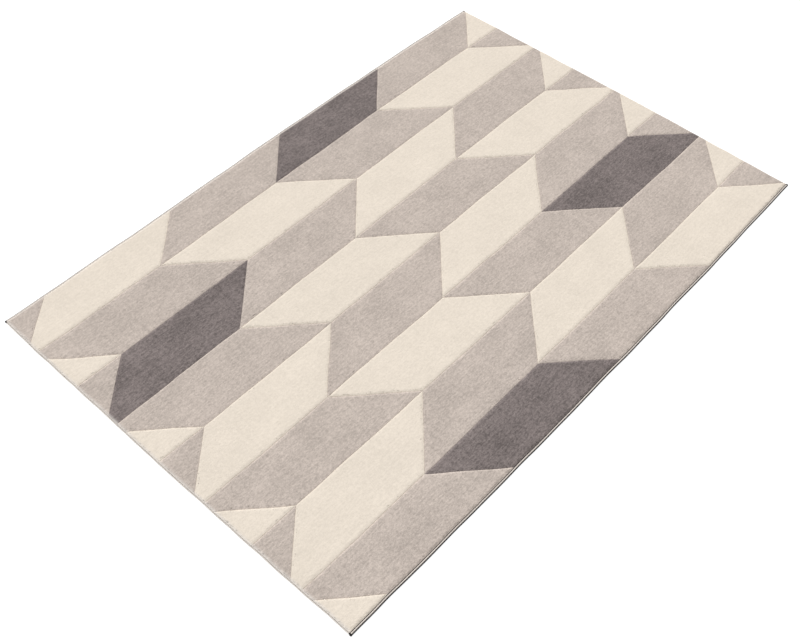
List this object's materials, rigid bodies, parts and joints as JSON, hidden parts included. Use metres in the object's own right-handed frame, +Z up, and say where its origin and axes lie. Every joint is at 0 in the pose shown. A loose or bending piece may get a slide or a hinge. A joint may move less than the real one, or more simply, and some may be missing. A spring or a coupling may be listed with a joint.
{
  "type": "area rug",
  "caption": "Rectangular cut-pile area rug with a carved chevron pattern in cream, taupe and charcoal, serged long sides and bound short ends.",
  "frame": {"origin": "centre of the underside, where the rug lies on the floor", "axes": "+Z up out of the pile, +Y along the rug's length, +X across its width"},
  "size_m": [1.55, 2.3, 0.0111],
  "materials": {
    "pile_cream": "cut pile, matt with a soft sheen",
    "pile_taupe": "cut pile, matt with a soft sheen",
    "pile_charcoal": "cut pile, matt with a soft sheen",
    "ground_yarn": "plain weave, matt",
    "latex": "thin coat on a weave, matt",
    "filler_cord": "twisted cord, matt",
    "serging_light_yarn": "wound yarn, satin",
    "serging_dark_yarn": "wound yarn, satin",
    "binding_tape": "woven tape, matt",
    "label_cloth": "woven label, satin"
  },
  "bodies": {
    "root": {"care_label": "label_cloth", "end_binding_far": "binding_tape", "end_binding_near": "binding_tape", "ground_weave": "ground_yarn", "latex_coat": "latex", "pile_a1": "pile_cream", "pile_a2": "pile_taupe", "pile_a3": "pile_charcoal", "pile_a4": "pile_taupe", "pile_a5": "pile_cream", "pile_a6": "pile_taupe", "pile_b1": "pile_taupe", "pile_b2": "pile_cream", "pile_b3": "pile_taupe", "pile_b4": "pile_cream", "pile_b5": "pile_taupe", "pile_b6": "pile_cream", "pile_c1": "pile_cream", "pile_c2": "pile_taupe", "pile_c3": "pile_cream", "pile_c4": "pile_taupe", "pile_c5": "pile_charcoal", "pile_c6": "pile_taupe", "pile_d1": "pile_taupe", "pile_d2": "pile_cream", "pile_d3": "pile_taupe", "pile_d4": "pile_cream", "pile_d5": "pile_taupe", "pile_d6": "pile_cream", "pile_e1": "pile_cream", "pile_e2": "pile_taupe", "pile_e3": "pile_cream", "pile_e4": "pile_taupe", "pile_e5": "pile_cream", "pile_e6": "pile_taupe", "pile_f1": "pile_taupe", "pile_f2": "pile_charcoal", "pile_f3": "pile_taupe", "pile_f4": "pile_cream", "pile_f5": "pile_taupe", "pile_f6": "pile_cream", "pile_g1": "pile_cream", "pile_g2": "pile_taupe", "pile_g3": "pile_cream", "pile_g4": "pile_taupe", "pile_g5": "pile_cream", "pile_g6": "pile_taupe", "pile_h1": "pile_taupe", "pile_h2": "pile_cream", "pile_h3": "pile_taupe", "pile_h4": "pile_charcoal", "pile_h5": "pile_taupe", "pile_h6": "pile_cream", "serging_lower_left": "serging_dark_yarn", "serging_lower_right": "serging_dark_yarn", "serging_upper_left": "serging_light_yarn", "serging_upper_right": "serging_light_yarn", "side_cord_left": "filler_cord", "side_cord_right": "filler_cord"}
  },
  "joints": []
}
